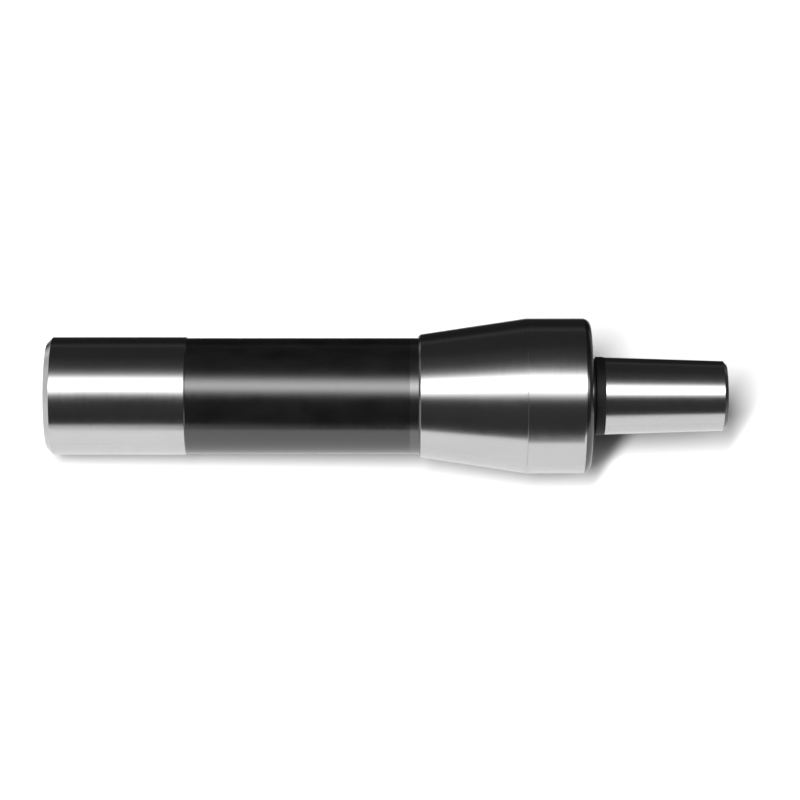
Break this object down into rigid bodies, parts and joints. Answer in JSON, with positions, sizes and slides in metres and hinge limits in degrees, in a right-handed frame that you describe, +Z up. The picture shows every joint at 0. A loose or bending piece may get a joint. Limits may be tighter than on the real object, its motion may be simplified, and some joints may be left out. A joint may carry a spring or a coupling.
{
  "type": "live center",
  "caption": "Live center: R8 tapered shank with drawbar thread and keyway, and a revolving short-taper nose on ball, thrust and needle bearings.",
  "frame": {"origin": "on the axis, in the gauge plane where the shank's taper seat reaches its full diameter", "axes": "+X along the axis towards the nose, -X towards the drawbar end, +Y towards the keyway, +Z up"},
  "size_m": [0.139, 0.0318, 0.0318],
  "materials": {
    "ground_steel": "ground hardened steel at the pilot and the taper seat, black oxide on the relief between them",
    "cap_steel": "ground hardened steel",
    "spindle_steel": "ground hardened steel, black oxide on the neck",
    "screw_black": "black oxide",
    "seal_rubber": "matt black nitrile",
    "shim_brass": "bright rolled",
    "bearing_steel": "fine ground bearing steel",
    "ball_steel": "polished bearing steel",
    "shield_steel": "rolled sheet steel",
    "spring_steel": "tempered spring steel",
    "cage_steel": "pressed sheet steel",
    "cage_brass": "machined brass"
  },
  "bodies": {
    "housing": {"shank_body": "ground_steel", "bearing_cap": "cap_steel", "cap_lock_screw": "screw_black", "knockout_plug": "screw_black", "nose_seal": "seal_rubber", "bearing_shim": "shim_brass", "front_outer_race": "bearing_steel", "front_shield_outer": "shield_steel", "front_shield_inner": "shield_steel", "thrust_housing_washer": "bearing_steel", "preload_spring": "spring_steel", "needle_cup": "bearing_steel"},
    "spindle": {"spindle": "spindle_steel", "front_inner_race": "bearing_steel", "thrust_shaft_washer": "bearing_steel"},
    "front_cage": {"front_balls": "ball_steel", "front_cage_outer_half": "cage_steel", "front_cage_inner_half": "cage_steel", "front_cage_rivets": "cage_steel"},
    "thrust_cage": {"thrust_balls": "ball_steel", "thrust_cage": "cage_brass"},
    "needle_cage": {"needle_rollers": "ball_steel", "needle_cage": "cage_steel"}
  },
  "joints": [
    {"name": "spindle_spin", "type": "hinge", "parent": "housing", "child": "spindle", "pos_m": [0, 0, 0], "axis": [1, 0, 0], "continuous": true},
    {"name": "front_cage_orbit", "type": "hinge", "parent": "housing", "child": "front_cage", "pos_m": [0, 0, 0], "axis": [1, 0, 0], "continuous": true},
    {"name": "thrust_cage_orbit", "type": "hinge", "parent": "housing", "child": "thrust_cage", "pos_m": [0, 0, 0], "axis": [1, 0, 0], "continuous": true},
    {"name": "needle_cage_orbit", "type": "hinge", "parent": "housing", "child": "needle_cage", "pos_m": [0, 0, 0], "axis": [1, 0, 0], "continuous": true}
  ],
  "couplings": [
    {"joint": "front_cage_orbit", "follows": "spindle_spin", "ratio": 0.4372},
    {"joint": "thrust_cage_orbit", "follows": "spindle_spin", "ratio": 0.5},
    {"joint": "needle_cage_orbit", "follows": "spindle_spin", "ratio": 0.4358}
  ]
}
